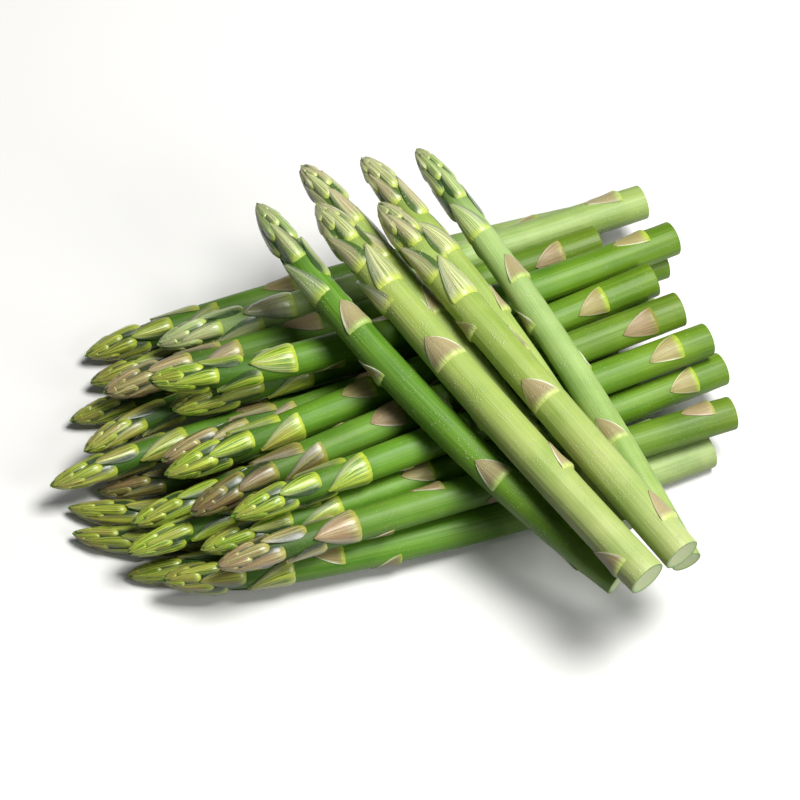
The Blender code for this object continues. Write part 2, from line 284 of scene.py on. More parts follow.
# the stem, modelled straight along x as a spear 214 long of radius 1, its tip at x = 0; it is
# tapered, bowed and thickened later
stemBlank = {
    "sides": 36,
    "length": 214.0,
    "headRing": 2.2,  # ring spacing on the head, in millimetres
    "headEnd": 44.0,
    "stemRing": 3.4,
    "rim": ((0.26, 0.992), (0.14, 0.97)),  # the rounded edge of the cut: step along, then radius
    "faceRings": (0.90, 0.80, 0.50, 0.20),  # rings on the cut face, as shares of the radius
}


def modelStem():
    deselectAll()
    bpy.ops.mesh.primitive_circle_add(
        vertices=stemBlank["sides"], radius=1.0, fill_type="NGON", rotation=(0.0, math.pi / 2, 0.0)
    )
    stem = bpy.context.object
    stem.name = "stemBlank"
    bpy.ops.object.transform_apply(location=False, rotation=True, scale=False)
    bpy.ops.object.mode_set(mode="EDIT")
    bpy.ops.mesh.select_all(action="SELECT")
    at = 0.0
    end = stemBlank["length"] - sum(step for step, share in stemBlank["rim"])
    while at < end - 0.01:
        step = stemBlank["headRing" if at < stemBlank["headEnd"] else "stemRing"]
        step = min(step, end - at)
        bpy.ops.mesh.extrude_region_move(TRANSFORM_OT_translate={"value": (step, 0.0, 0.0)})
        at += step
    size = 1.0
    rings = stemBlank["rim"] + tuple((0.0, share) for share in stemBlank["faceRings"])
    for step, share in rings:
        bpy.ops.mesh.extrude_region_move(TRANSFORM_OT_translate={"value": (step, 0.0, 0.0)})
        bpy.ops.transform.resize(value=(1.0, share / size, share / size))
        size = share
    bpy.ops.mesh.select_all(action="SELECT")
    bpy.ops.mesh.normals_make_consistent(inside=False)
    bpy.ops.object.mode_set(mode="OBJECT")
    return stem


headLeaf = modelLeaf("headLeaf", scaleLeaf["headColumns"], scaleLeaf["headWidth"])
bractLeaf = modelLeaf("bractLeaf", scaleLeaf["bractColumns"], scaleLeaf["bractWidth"])
stemModel = modelStem()
templates = (headLeaf, bractLeaf, stemModel)
print("templates:", [len(template.data.polygons) for template in templates], "faces")

# where the scales are, in millimetres from the tip and degrees: the CAD model's spiral up to the
# head, which gets more and finer ones
growth = {
    "seed": 28,  # of the CAD model's spiral
    "finerSeed": 71,  # of what is finer here
    "typicalRadius": 7.0,
    "headScales": 12,
    "firstAt": 6.0,
    "firstStep": 2.6,
    "stepGrowth": 1.11,
    "firstBractAt": 72.0,
    "bractWander": 4.0,
    "bractShares": (0.0, 0.17, 0.38, 0.66, 1.0),  # from the first bract to the last
    "turn": 137.5,
    "turnWander": 7.0,
    "keptHeadScales": 6,  # from the lowest up; finer ones take the place of the rest
    "neckScales": 2,  # of the kept ones, those shaped as bracts
    "fineStep": 1.9,
    "fineShrink": 0.95,
    "finestAt": 4.0,
    "headLength": 20.0,
    "headLengthRange": (0.82, 1.04),
    "roomToTip": 0.94,  # a head scale is at most this share of its distance from the tip
    "widestAt": 0.4,
    "neckLength": 20.0,
    "headAt": (8.0, 20.0, 34.0),
    "headHalfWidth": (3.9, 4.8, 6.6),
    "widestHalfAngle": 72.0,
    "bractLength": 14.0,
    "bractLengthRange": (0.9, 1.12),
    "bractAt": (26.0, 34.0, 60.0, 100.0, 190.0),  # bracts get narrower down the stem
    "bractHalfAngle": (60.0, 74.0, 74.0, 58.0, 46.0),
}


def scalePlaces(spear, rng):  # distance from the tip, angle and kind, from the butt to the tip
    places = []
    at = growth["firstAt"]
    step = growth["firstStep"]
    for _ in range(growth["headScales"]):
        places.append([at, 0.0, "head"])
        at += step
        step *= growth["stepGrowth"]
    first = growth["firstBractAt"] + rng.uniform(-growth["bractWander"], growth["bractWander"])
    last = spear.length - spear.last
    for share in growth["bractShares"]:
        places.append([first + share * (last - first), 0.0, "bract"])
    places.reverse()
    turn = math.radians(spear.facing)
    for place in places:
        place[1] = turn
        wander = rng.uniform(-growth["turnWander"], growth["turnWander"])
        turn -= math.radians(growth["turn"] + wander)
    bracts = len(growth["bractShares"])
    del places[bracts + growth["keptHeadScales"]:]
    for place in places[bracts:bracts + growth["neckScales"]]:
        place[2] = "neck"
    at, turn = places[-1][:2]
    step = growth["fineStep"]
    while at - step > growth["finestAt"]:
        at -= step
        step *= growth["fineShrink"]
        turn -= math.radians(growth["turn"])
        places.append([at, turn, "head"])
    return places


def spearFrame(spear, fromTip):  # axis points, and the side and up directions across them
    share = 1.0 - fromTip / spear.length
    here = spear.points(share)
    ahead = spear.points(share + 0.01) - here
    ahead /= np.linalg.norm(ahead, axis=1)[:, None]
    side = np.cross(ahead, (0.0, 0.0, 1.0))
    side /= np.linalg.norm(side, axis=1)[:, None]
    return here, side, np.cross(side, ahead)


def wrap(spear, fromTip, angle, distance):  # places round the bent axis, in metres
    here, side, up = spearFrame(spear, fromTip)
    out = side * np.cos(angle)[:, None] + up * np.sin(angle)[:, None]
    return (here + out * distance[:, None] + shift) * mm


def shareRadius(spear, fromTip, kind):
    return spear.thick * np.interp(fromTip, taper["at"], taper[kind])


# a scale's section along its length: height over the stem, 0 on the stem and 1 at the outer limit
leafForm = {
    "at": (0.0, 0.03, 0.08, 0.15, 0.25, 0.38, 0.52, 0.66, 0.79, 0.90, 1.0),
    "crown": (-0.05, 0.40, 0.72, 0.92, 1.0, 0.98, 0.94, 0.92, 0.93, 0.95, 0.92),
    "edge": (-0.25, -0.02, 0.06, 0.12, 0.16, 0.20, 0.26, 0.36, 0.50, 0.66, 0.84),
    "bractCrown": (-0.05, 0.62, 0.98, 1.0, 0.78, 0.56, 0.42, 0.36, 0.34, 0.33, 0.30),
    "bractEdge": (-0.25, 0.10, 0.40, 0.42, 0.34, 0.28, 0.26, 0.26, 0.27, 0.28, 0.28),
    "leastCrown": 0.3,
    "roundness": 1.8,
    "heightRange": (0.88, 1.02),
    "twist": 0.28,  # how far the points curl round the spear, in radians
    "twistWander": 0.15,
    "tipAt": (0.0, 3.0, 8.0, 14.0),
    "slimTip": (0.6, 0.78, 0.95, 1.0),
    "plumpTip": (1.2, 1.25, 1.14, 1.04),
    "leastRoom": 1.15,  # a scale's least thickness in millimetres, this far from the tip or more:
    "fullRoomAt": 60.0,
    "rooted": 0.82,  # share of the stem's radius that its hidden rim reaches down to
    "footLength": 0.2,  # share of the scale, from its foot, over which the painted shade in the hollows comes in
    "bractShadeShare": 0.5,  # the strength of the painted shade in the hollows off the head
}
# the map that the skins' patterns follow: its unit, and how far apart two scales' patterns lie
pattern = {"unit": 100.0, "aside": 2.0, "apart": 300.0}


def layLeaf(spear, template, place, plump, rng):  # a copy of a template, wrapped round the spear
    at, turn, kind = place
    base = np.array([v.co for v in template.data.vertices])
    across, rise = base[:, 0], base[:, 1]
    if kind == "head":
        length = min(growth["headLength"], growth["roomToTip"] * at)
        length *= rng.uniform(*growth["headLengthRange"])
        widths = scaleLeaf["headWidth"]
        middle = np.array((at - growth["widestAt"] * length,))
        halfWidth = np.interp(at, growth["headAt"], growth["headHalfWidth"])
        halfWidth *= spear.thick / growth["typicalRadius"]
        halfAngle = halfWidth / shareRadius(spear, middle, "outer")[0]
        halfAngle = min(halfAngle, math.radians(growth["widestHalfAngle"]))
    else:
        length = growth["bractLength" if kind == "bract" else "neckLength"]
        length *= rng.uniform(*growth["bractLengthRange"])
        widths = scaleLeaf["bractWidth"]
        halfAngle = math.radians(np.interp(at, growth["bractAt"], growth["bractHalfAngle"]))
    lean = leafForm["twist"] + rng.uniform(-leafForm["twistWander"], leafForm["twistWander"])
    fromTip = at - rise * length
    angle = turn - across * halfAngle + lean * rise**2
    rowWidth = np.maximum(np.interp(rise, scaleLeaf["rowAt"], widths), 0.02)  # not 0 at the point
    spread = np.clip(across / rowWidth, -1.0, 1.0)
    crown = leafForm["bractCrown" if kind == "bract" else "crown"]
    crown = np.interp(rise, leafForm["at"], crown)
    edge = leafForm["edge" if kind == "head" else "bractEdge"]
    edge = np.interp(rise, leafForm["at"], edge)
    height = edge + (crown - edge) * (1.0 - np.abs(spread) ** leafForm["roundness"])
    # depth below the crown: it sets the painted shade in the hollows between scales
    depth = 1.0 - height / np.maximum(crown, leafForm["leastCrown"])
    depth = np.clip(depth, 0.0, 1.0) * np.clip(rise / leafForm["footLength"], 0.0, 1.0)
    depth *= 1.0 if kind == "head" else leafForm["bractShadeShare"]
    height *= rng.uniform(*leafForm["heightRange"])
    slim = np.interp(fromTip, leafForm["tipAt"], leafForm["slimTip"])
    full = np.interp(fromTip, leafForm["tipAt"], leafForm["plumpTip"])
    height *= slim + plump * (full - slim)
    stem = shareRadius(spear, fromTip, "stem")
    least = leafForm["leastRoom"] * min(1.0, at / leafForm["fullRoomAt"])
    room = np.maximum(shareRadius(spear, fromTip, "outer") - stem, least)
    hidden = base[:, 2] < -0.5  # the leaf's floor
    distance = np.where(hidden, leafForm["rooted"] * stem, stem + height * room)
    mesh = template.data.copy()
    corners = wrap(spear, fromTip, angle, distance).astype(np.float32)
    mesh.vertices.foreach_set("co", corners.ravel())
    chance = rng.random()
    marks = np.stack((np.abs(spread), rise, np.full(len(base), chance), depth), 1)
    turn = spread * halfAngle + pattern["aside"]
    down = fromTip + pattern["apart"] * chance
    store(mesh, marks, turn, growth["typicalRadius"], down, spear.length - fromTip)
    leaf = bpy.data.objects.new("scale", mesh)
    bpy.context.scene.collection.objects.link(leaf)
    return leaf


# what the materials read: the marks (on a scale how near its edge, how far up it, chance and depth
# below its crown, which sets painted shade, on a stem the share of its radius, how much painted
# shade it gets under the head, and chance), the distance to the butt, and the map that the patterns
# follow
def store(mesh, marks, turn, radius, down, toButt):
    layer = mesh.color_attributes.new("marks", "FLOAT_COLOR", "POINT")
    layer.data.foreach_set("color", marks.astype(np.float32).ravel())
    end = mesh.attributes.new("toButt", "FLOAT", "POINT")
    end.data.foreach_set("value", toButt.astype(np.float32))
    corners = np.array([loop.vertex_index for loop in mesh.loops])
    starts = np.array([polygon.loop_start for polygon in mesh.polygons])
    faces = np.repeat(np.arange(len(starts)), np.diff(np.append(starts, len(corners))))
    turn = turn[corners]
    widest = np.maximum.reduceat(turn, starts)[faces]
    turn = np.where(widest - turn > math.pi, turn + 2 * math.pi, turn)  # over the seam
    skinMap = mesh.uv_layers.new(name="skinMap")
    places = np.stack((turn * radius, down[corners]), 1) / pattern["unit"]
    skinMap.data.foreach_set("uv", places.astype(np.float32).ravel())


stemForm = {
    "flutes": (3, 5, 8, 13),  # ridges round the stem, each fainter than the last
    "fluteStart": (0.0, 6.28),
    "fluteLean": 0.01,  # radians a millimetre
    "fluteDepth": 0.012,
    "flutedFrom": (30.0, 40.0),  # millimetres from the tip, and over how many they grow
    "swelling": 0.026,  # at the foot of a bract
    "swellLength": 2.4,
    "slack": 0.985,
    "hollow": 0.35,  # how far the middle of a cut sinks, in millimetres
    "hollowRange": (0.3, 1.0),
    "hollowFrom": (0.9, 0.5),  # share of the radius, and over how much of it the cut sinks
    "shadeFade": 0.7,  # share of the painted shade's stretch of a stem over which it fades
    "unshadedTip": (3.0, 4.0),  # the very tip gets no painted shade: millimetres, and over how many the shade comes in
}


def layStem(spear, places, rng):
    base = np.array([v.co for v in stemModel.data.vertices])
    fromTip = base[:, 0] * spear.length / stemBlank["length"]
    angle = np.arctan2(base[:, 2], base[:, 1])
    share = np.hypot(base[:, 1], base[:, 2])
    flutes = np.zeros(len(base))
    for count in stemForm["flutes"]:
        start = rng.uniform(*stemForm["fluteStart"])
        lean = stemForm["fluteLean"] * rng.uniform(-1.0, 1.0)
        flutes += np.sin(count * angle + start + lean * fromTip) / count
    swell = np.zeros(len(base))
    for at, turn, kind in places:
        if kind == "bract":
            facing = 0.5 + 0.5 * np.cos(angle - turn)
            below = fromTip - at - 0.5
            swell += facing * np.exp(-((below / stemForm["swellLength"]) ** 2))
    first, over = stemForm["flutedFrom"]
    flutes *= np.clip((fromTip - first) / over, 0.0, 1.0)
    bulk = stemForm["slack"] + stemForm["fluteDepth"] * flutes + stemForm["swelling"] * swell
    distance = shareRadius(spear, fromTip, "stem") * bulk * share
    sunk = stemForm["hollow"] * rng.uniform(*stemForm["hollowRange"])
    first, over = stemForm["hollowFrom"]
    sunk = sunk * np.clip((first - share) / over, 0.0, 1.0)
    depth = np.where(fromTip > spear.length - 0.01, sunk, 0.0)  # on the cut face alone
    mesh = stemModel.data.copy()
    corners = wrap(spear, fromTip - depth, angle, distance).astype(np.float32)
    mesh.vertices.foreach_set("co", corners.ravel())
    chance = rng.random()
    # painted shade: the stem darkens where it lies under and between the head's scales, fading out down
    # the stem and off the very tip
    dark = looks[spear.look]["dark"]
    shadeUnderScales = np.clip((dark - fromTip) / (stemForm["shadeFade"] * dark), 0.0, 1.0)
    first, over = stemForm["unshadedTip"]
    shadeUnderScales *= np.clip((fromTip - first) / over, 0.0, 1.0)
    marks = np.stack((share, shadeUnderScales, np.full(len(base), chance), np.ones(len(base))), 1)
    turn = (angle + math.pi / 2) % (2 * math.pi)  # the pattern's seam is underneath
    down = fromTip + pattern["apart"] * chance
    store(mesh, marks, turn, spear.thick, down, spear.length - fromTip)
    stem = bpy.data.objects.new(spear.node, mesh)
    bpy.context.scene.collection.objects.link(stem)
    return stem


slotOf = {"stem": 0, "head": 1, "neck": 1, "bract": 2, "cut": 3}
cutSlice = 0.02  # faces of the stem model this near its end are the cut
smoothAngle = 45.0


def giveSkins(piece, materials, kind):
    for material in materials:
        piece.data.materials.append(material)
    count = len(piece.data.polygons)
    piece.data.polygons.foreach_set("material_index", np.full(count, slotOf[kind], np.int32))


def growSpear(spear, growthRng, rng, materials):
    places = scalePlaces(spear, growthRng)
    stem = layStem(spear, places, rng)
    giveSkins(stem, materials, "stem")
    model = stemModel.data
    for polygon, shape in zip(stem.data.polygons, model.polygons):
        if shape.center.x > stemBlank["length"] - cutSlice:
            polygon.material_index = slotOf["cut"]
    parts = [stem]
    plump = rng.random()
    for place in places:
        template = headLeaf if place[2] == "head" else bractLeaf
        leaf = layLeaf(spear, template, place, plump, rng)
        giveSkins(leaf, materials, place[2])
        parts.append(leaf)
    deselectAll()
    for part in parts:
        part.select_set(True)
    bpy.context.view_layer.objects.active = stem
    bpy.ops.object.join()
    corners = np.array([v.co for v in stem.data.vertices])
    corners = np.clip(corners, *cadBox)  # pressed flat where it lies on the surface
    stem.data.vertices.foreach_set("co", corners.astype(np.float32).ravel())
    stem.data.update()
    stem.name = "asparagus" + spear.node.replace("spear_", "").replace("_", "").capitalize()
    bpy.ops.object.shade_smooth_by_angle(angle=math.radians(smoothAngle))
    deselectAll()
    return stem


def linearColour(text):
    parts = [int(text[i:i + 2], 16) / 255.0 for i in (0, 2, 4)]
    return tuple(c / 12.92 if c <= 0.04045 else ((c + 0.055) / 1.055) ** 2.4 for c in parts) + (1.0,)


def addNode(tree, kind, settings, links):  # links: socket name or number, and value or socket
    node = tree.nodes.new(kind)
    for key, value in settings.items():
        if key == "stops":
            ends = node.color_ramp.elements
            ends[0].position, ends[0].color = value[0][0], linearColour(value[0][1])
            ends[-1].position, ends[-1].color = value[-1][0], linearColour(value[-1][1])
            for at, colour in value[1:-1]:
                ends.new(at).color = linearColour(colour)
        else:
            setattr(node, key, value)
    for key, value in links.items():
        if isinstance(value, bpy.types.NodeSocket):
            tree.links.new(value, node.inputs[key])
        elif isinstance(value, str):
            node.inputs[key].default_value = linearColour(value)
        else:
            node.inputs[key].default_value = value
    return node


# each look of spear: its colours as sRGB hex, one of them the painted shade under and between scales,
# then how stained its scales are, how dewy it is, its waterdrops painted white as glints, and how far
# from the tip its stem gets painted shade, in millimetres
looks = {
    "green": {
        "stem": "609424", "butt": "BECE8A", "line": "A0BE56", "shade": "2C5E0C", "paintedShade": "16380A",
        "deep": "50700E", "light": "C4D050", "lip": "B0BE40", "stain": "96824E", "paper": "D8DEB4",
        "stained": 0.42, "wet": 0.15, "dark": 64.0,
    },
    "bright": {
        "stem": "649824", "butt": "688810", "line": "90B236", "shade": "306408", "paintedShade": "183E08",
        "deep": "50820C", "light": "C8DA50", "lip": "BACA40", "stain": "A4944E", "paper": "DEE6B8",
        "stained": 0.30, "wet": 0.2, "dark": 60.0,
    },
    "purple": {
        "stem": "649428", "butt": "688412", "line": "8EAC42", "shade": "305A10", "paintedShade": "1E360C",
        "deep": "606A20", "light": "CCC284", "lip": "B0AC50", "stain": "A88468", "paper": "D6CEB6",
        "stained": 0.66, "wet": 0.2, "dark": 64.0,
    },
    "dewy": {
        "stem": "5A8A1C", "butt": "82AA34", "line": "92B652", "shade": "2C5E0E", "paintedShade": "1C440A",
        "deep": "6A903A", "light": "CADA98", "lip": "B2C850", "stain": "AAA07C", "paper": "E2E8D0",
        "stained": 0.40, "wet": 0.6, "dark": 40.0,
    },
    "frosted": {
        "stem": "A2BE70", "butt": "9CB25A", "line": "C2D498", "shade": "4E8224", "paintedShade": "264C0E",
        "deep": "7A9C44", "light": "D0DE9C", "lip": "BCD058", "stain": "B0A682", "paper": "E8EED6",
        "stained": 0.40, "wet": 0.5, "dark": 40.0,
    },
    "pale": {
        "stem": "A2B458", "butt": "B4BE7C", "line": "C8DA90", "shade": "6A922A", "paintedShade": "3C6012",
        "deep": "8A9C4A", "light": "E0E6AE", "lip": "C0D04E", "stain": "B8A286", "paper": "EEF0DA",
        "stained": 0.55, "wet": 0.65, "dark": 34.0,
    },
}
duskyHead = {"deep": "4A5018", "light": "98924C", "lip": "9A983E", "stain": "7E5C48"}
looks["dusky"] = {**looks["purple"], **duskyHead}  # purple, with darker scales

rgba = {"data_type": "RGBA"}
# sockets by number: a map range has 0 value, 1 and 2 from, 3 and 4 to; a colour mix has 6 the first
# colour, 7 the second and 0 the second one's share

# fresh plant skin: glossy by its wax, and slightly see-through green
plantFinish = {
    "ior": 1.45,
    "specular": 0.4,
    "coatRoughness": 0.26,
    "coatIor": 1.5,
    "through": 0.05,
    "throughRadius": (0.6, 1.0, 0.3),
    "throughScale": 0.002,
}


def startSkin(name, coat):
    material = bpy.data.materials.new(name)
    material.use_nodes = True
    tree = material.node_tree
    tree.nodes.clear()
    shader = addNode(tree, "ShaderNodeBsdfPrincipled", {}, {
        "IOR": plantFinish["ior"], "Specular IOR Level": plantFinish["specular"],
        "Coat Weight": coat, "Coat Roughness": plantFinish["coatRoughness"],
        "Coat IOR": plantFinish["coatIor"], "Subsurface Weight": plantFinish["through"],
        "Subsurface Radius": plantFinish["throughRadius"],
        "Subsurface Scale": plantFinish["throughScale"],
    })
    addNode(tree, "ShaderNodeOutputMaterial", {}, {"Surface": shader.outputs[0]})
    uv = addNode(tree, "ShaderNodeUVMap", {"uv_map": "skinMap"}, {}).outputs[0]
    marked = addNode(tree, "ShaderNodeAttribute", {"attribute_name": "marks"}, {}).outputs
    parted = addNode(tree, "ShaderNodeSeparateColor", {}, {"Color": marked["Color"]}).outputs
    place = addNode(tree, "ShaderNodeTexCoord", {}, {}).outputs["Object"]
    return material, tree, shader, uv, (*parted, marked["Alpha"]), place


def drawnOut(tree, uv, grain):  # noise drawn out along the spear
    width, length, detail = grain
    scale = (pattern["unit"] / width, pattern["unit"] / length, 1.0)
    spot = addNode(tree, "ShaderNodeMapping", {}, {"Vector": uv, "Scale": scale}).outputs[0]
    return addNode(tree, "ShaderNodeTexNoise", {}, {
        "Vector": spot, "Scale": 1.0, "Detail": detail, "Roughness": 0.6,
    }).outputs["Fac"]


# waterdrops, in millimetres: real ones are finer, and these are as coarse as they need to show; each is
# raised by a bump and painted white as a painted glint
dew = {
    "cell": 1.25,
    "drop": (0.14, 0.30),  # shares of a cell where a drop's white ends
    "patch": 7.143,
    "patchEdge": (0.45, 0.62),
    # the painted glint: how white a waterdrop is painted at most, and its white
    "glintShare": 0.5,
    "colour": "EEF5E2",
}


# dew: real waterdrops in relief, their white a painted glint
def addDewGlints(tree, place, colour, wet):  # drops 0.6 mm across, in patches
    cells = addNode(tree, "ShaderNodeTexVoronoi", {}, {
        "Vector": place, "Scale": 1000.0 / dew["cell"]}).outputs["Distance"]
    patch = addNode(tree, "ShaderNodeTexNoise", {}, {
        "Vector": place, "Scale": 1000.0 / dew["patch"], "Detail": 2.0}).outputs["Fac"]
    dot = addNode(tree, "ShaderNodeMapRange", {}, {
        0: cells, 1: dew["drop"][0], 2: dew["drop"][1], 3: dew["glintShare"] * wet, 4: 0.0}).outputs[0]
    patch = addNode(tree, "ShaderNodeMapRange", {}, {
        0: patch, 1: dew["patchEdge"][0], 2: dew["patchEdge"][1]}).outputs[0]
    dropsAndGlints = addNode(tree, "ShaderNodeMath", {"operation": "MULTIPLY"}, {0: dot, 1: patch}).outputs[0]
    colour = addNode(tree, "ShaderNodeMix", rgba, {0: dropsAndGlints, 6: colour, 7: dew["colour"]}).outputs[2]
    return colour, dropsAndGlints


# living asparagus stem: a thin wax over fine lengthwise fibres, so its gloss breaks into lines; it
# pales or yellows to the butt, has faint darker patches, and gets painted shade between the head's
# scales
stemFinish = {
    "coat": 0.08,
    "fibre": (0.4167, 45.45, 3.0),  # width and length in millimetres, and detail
    "band": (1.786, 83.33, 2.0),
    "patch": 20.83,
    "buttFade": (4.0, 95.0),  # millimetres from the butt
    "patchShare": 0.46,
    "bandShare": 0.30,
    "fibreShare": 0.22,
    "paintedShadeShare": 0.8,
    "roughness": (0.38, 0.60),
    "fibreBump": (0.35, 0.0003),  # strength, and height in metres
    "bandBump": (0.5, 0.0004),
    "dropBump": (0.8, 0.0008),
}


def stemSkin(name, look):
    finish = stemFinish
    material, tree, shader, uv, marks, place = startSkin(name, finish["coat"])
    fine = drawnOut(tree, uv, finish["fibre"])
    broad = drawnOut(tree, uv, finish["band"])
    patch = addNode(tree, "ShaderNodeTexNoise", {}, {
        "Vector": place, "Scale": 1000.0 / finish["patch"], "Detail": 3.0}).outputs["Fac"]
    toButt = addNode(tree, "ShaderNodeAttribute", {"attribute_name": "toButt"}, {}).outputs["Fac"]
    end = addNode(tree, "ShaderNodeMapRange", {}, {
        0: toButt, 1: finish["buttFade"][0], 2: finish["buttFade"][1], 3: 1.0, 4: 0.0}).outputs[0]
    colour = addNode(tree, "ShaderNodeMix", rgba, {
        0: end, 6: look["stem"], 7: look["butt"]}).outputs[2]
    dark = addNode(tree, "ShaderNodeMapRange", {}, {
        0: patch, 1: 0.60, 2: 0.34, 3: 0.0, 4: finish["patchShare"]}).outputs[0]
    colour = addNode(tree, "ShaderNodeMix", rgba, {0: dark, 6: colour, 7: look["shade"]}).outputs[2]
    bands = addNode(tree, "ShaderNodeMapRange", {}, {
        0: broad, 1: 0.36, 2: 0.68, 3: 0.0, 4: finish["bandShare"]}).outputs[0]
    colour = addNode(tree, "ShaderNodeMix", rgba, {0: bands, 6: colour, 7: look["line"]}).outputs[2]
    lines = addNode(tree, "ShaderNodeMapRange", {}, {
        0: fine, 1: 0.36, 2: 0.64, 3: finish["fibreShare"], 4: 0.0}).outputs[0]
    colour = addNode(tree, "ShaderNodeMix", rgba, {0: lines, 6: colour, 7: look["shade"]}).outputs[2]
    # painted shade on the stem under and between the head's scales
    deep = addNode(tree, "ShaderNodeMapRange", {}, {0: marks[1], 4: finish["paintedShadeShare"]}).outputs[0]
    colour = addNode(tree, "ShaderNodeMix", rgba, {0: deep, 6: colour, 7: look["paintedShade"]}).outputs[2]
    colour, dropsAndGlints = addDewGlints(tree, place, colour, look["wet"])
    tree.links.new(colour, shader.inputs["Base Color"])
    smooth, rough = finish["roughness"]
    rough = addNode(tree, "ShaderNodeMapRange", {}, {0: fine, 3: smooth, 4: rough}).outputs[0]
    tree.links.new(rough, shader.inputs["Roughness"])
    strength, height = finish["fibreBump"]
    bump = addNode(tree, "ShaderNodeBump", {}, {
        "Height": fine, "Strength": strength, "Distance": height})
    for relief, (strength, height) in ((broad, finish["bandBump"]), (dropsAndGlints, finish["dropBump"])):
        bump = addNode(tree, "ShaderNodeBump", {}, {
            "Height": relief, "Strength": strength, "Distance": height, "Normal": bump.outputs[0]})
    tree.links.new(bump.outputs[0], shader.inputs["Normal"])
    return material


# a scale: a fleshy yellow-green foot and a veined blade, stained mauve. A head scale is glossy and
# its edge sinks into the hollows between scales, darkened there with painted shade; a bract is a dull
# dry husk with a torn papery edge
scaleFinish = {
    "vein": (0.6667, 38.46, 3.0),  # width and length in millimetres, and detail
    "broadVein": (2.381, 33.33, 2.0),
    "blade": (0.08, 0.35),  # where the foot's colour ends and the blade's is full, as shares
    "foot": (0.04, 0.20),
    "roughness": (0.24, 0.46),
    "veinBump": (0.7, 0.0005),  # strength, and height in metres
    "dropBump": (0.8, 0.0008),
}
headScale = {"coat": 0.8, "veins": (0.0, 1.0), "foot": 0.85}
bractHusk = {"coat": 0.1, "veins": (0.3, 0.7), "foot": 0.45, "husk": "A68C6C"}


def scaleSkin(name, look, papery):
    finish = scaleFinish
    own = bractHusk if papery else headScale
    material, tree, shader, uv, marks, place = startSkin(name, own["coat"])
    edge, rise, chance, depth = marks
    veins = drawnOut(tree, uv, finish["vein"])
    broad = drawnOut(tree, uv, finish["broadVein"])
    vein = addNode(tree, "ShaderNodeMapRange", {}, {
        0: veins, 1: 0.40, 2: 0.60, 3: own["veins"][0], 4: own["veins"][1]}).outputs[0]
    colour = addNode(tree, "ShaderNodeMix", rgba, {
        0: vein, 6: look["deep"], 7: look["light"]}).outputs[2]
    mood = addNode(tree, "ShaderNodeMath", {"operation": "MULTIPLY_ADD"}, {
        0: chance, 1: 0.4, 2: broad}).outputs[0]
    least = 0.95 - 0.5 * look["stained"]
    mood = addNode(tree, "ShaderNodeMapRange", {}, {
        0: mood, 1: least - 0.12, 2: least + 0.12, 4: 0.9}).outputs[0]
    streak = addNode(tree, "ShaderNodeMapRange", {}, {
        0: veins, 1: 0.62, 2: 0.42, 3: 0.25, 4: 1.0}).outputs[0]
    mood = addNode(tree, "ShaderNodeMath", {"operation": "MULTIPLY"}, {0: mood, 1: streak}).outputs[0]
    blade = addNode(tree, "ShaderNodeMapRange", {}, {
        0: rise, 1: finish["blade"][0], 2: finish["blade"][1]}).outputs[0]
    mood = addNode(tree, "ShaderNodeMath", {"operation": "MULTIPLY"}, {0: mood, 1: blade}).outputs[0]
    if papery:  # a bract is stained all over its blade
        dry = addNode(tree, "ShaderNodeMapRange", {}, {0: rise, 1: 0.06, 2: 0.25, 4: 0.72}).outputs[0]
        mood = addNode(tree, "ShaderNodeMath", {"operation": "MAXIMUM"}, {0: mood, 1: dry}).outputs[0]
    stain = own.get("husk", look["stain"])
    colour = addNode(tree, "ShaderNodeMix", rgba, {0: mood, 6: colour, 7: stain}).outputs[2]
    foot = addNode(tree, "ShaderNodeMapRange", {}, {
        0: rise, 1: finish["foot"][0], 2: finish["foot"][1], 3: own["foot"], 4: 0.0}).outputs[0]
    colour = addNode(tree, "ShaderNodeMix", rgba, {0: foot, 6: colour, 7: look["lip"]}).outputs[2]
    if papery:
        rim = addNode(tree, "ShaderNodeMapRange", {}, {0: edge, 1: 0.82, 2: 0.94, 4: 0.9}).outputs[0]
        torn = addNode(tree, "ShaderNodeMapRange", {}, {0: broad, 1: 0.40, 2: 0.56, 3: 0.15}).outputs[0]
        rim = addNode(tree, "ShaderNodeMath", {"operation": "MULTIPLY"}, {0: rim, 1: torn}).outputs[0]
    else:
        rim = addNode(tree, "ShaderNodeMapRange", {}, {0: edge, 1: 0.50, 2: 0.72, 4: 0.40}).outputs[0]
    rim = addNode(tree, "ShaderNodeMath", {"operation": "MULTIPLY"}, {0: rim, 1: blade}).outputs[0]
    colour = addNode(tree, "ShaderNodeMix", rgba, {0: rim, 6: colour, 7: look["paper"]}).outputs[2]
    # painted shade: the scale darkens where it sinks below its crown, into the hollows between scales
    if not papery:
        paintedShade = addNode(tree, "ShaderNodeMapRange", {}, {
            0: depth, 1: 0.08, 2: 0.46, 4: 0.95}).outputs[0]
        colour = addNode(tree, "ShaderNodeMix", rgba, {
            0: paintedShade, 6: colour, 7: look["paintedShade"]}).outputs[2]
    colour, dropsAndGlints = addDewGlints(tree, place, colour, look["wet"])
    tree.links.new(colour, shader.inputs["Base Color"])
    smooth, rough = finish["roughness"]
    rough = addNode(tree, "ShaderNodeMapRange", {}, {0: veins, 3: smooth, 4: rough}).outputs[0]
    tree.links.new(rough, shader.inputs["Roughness"])
    strength, height = finish["veinBump"]
    bump = addNode(tree, "ShaderNodeBump", {}, {
        "Height": veins, "Strength": strength, "Distance": height})
    strength, height = finish["dropBump"]
    bump = addNode(tree, "ShaderNodeBump", {}, {
        "Height": dropsAndGlints, "Strength": strength, "Distance": height, "Normal": bump.outputs[0]})
    tree.links.new(bump.outputs[0], shader.inputs["Normal"])
    return material


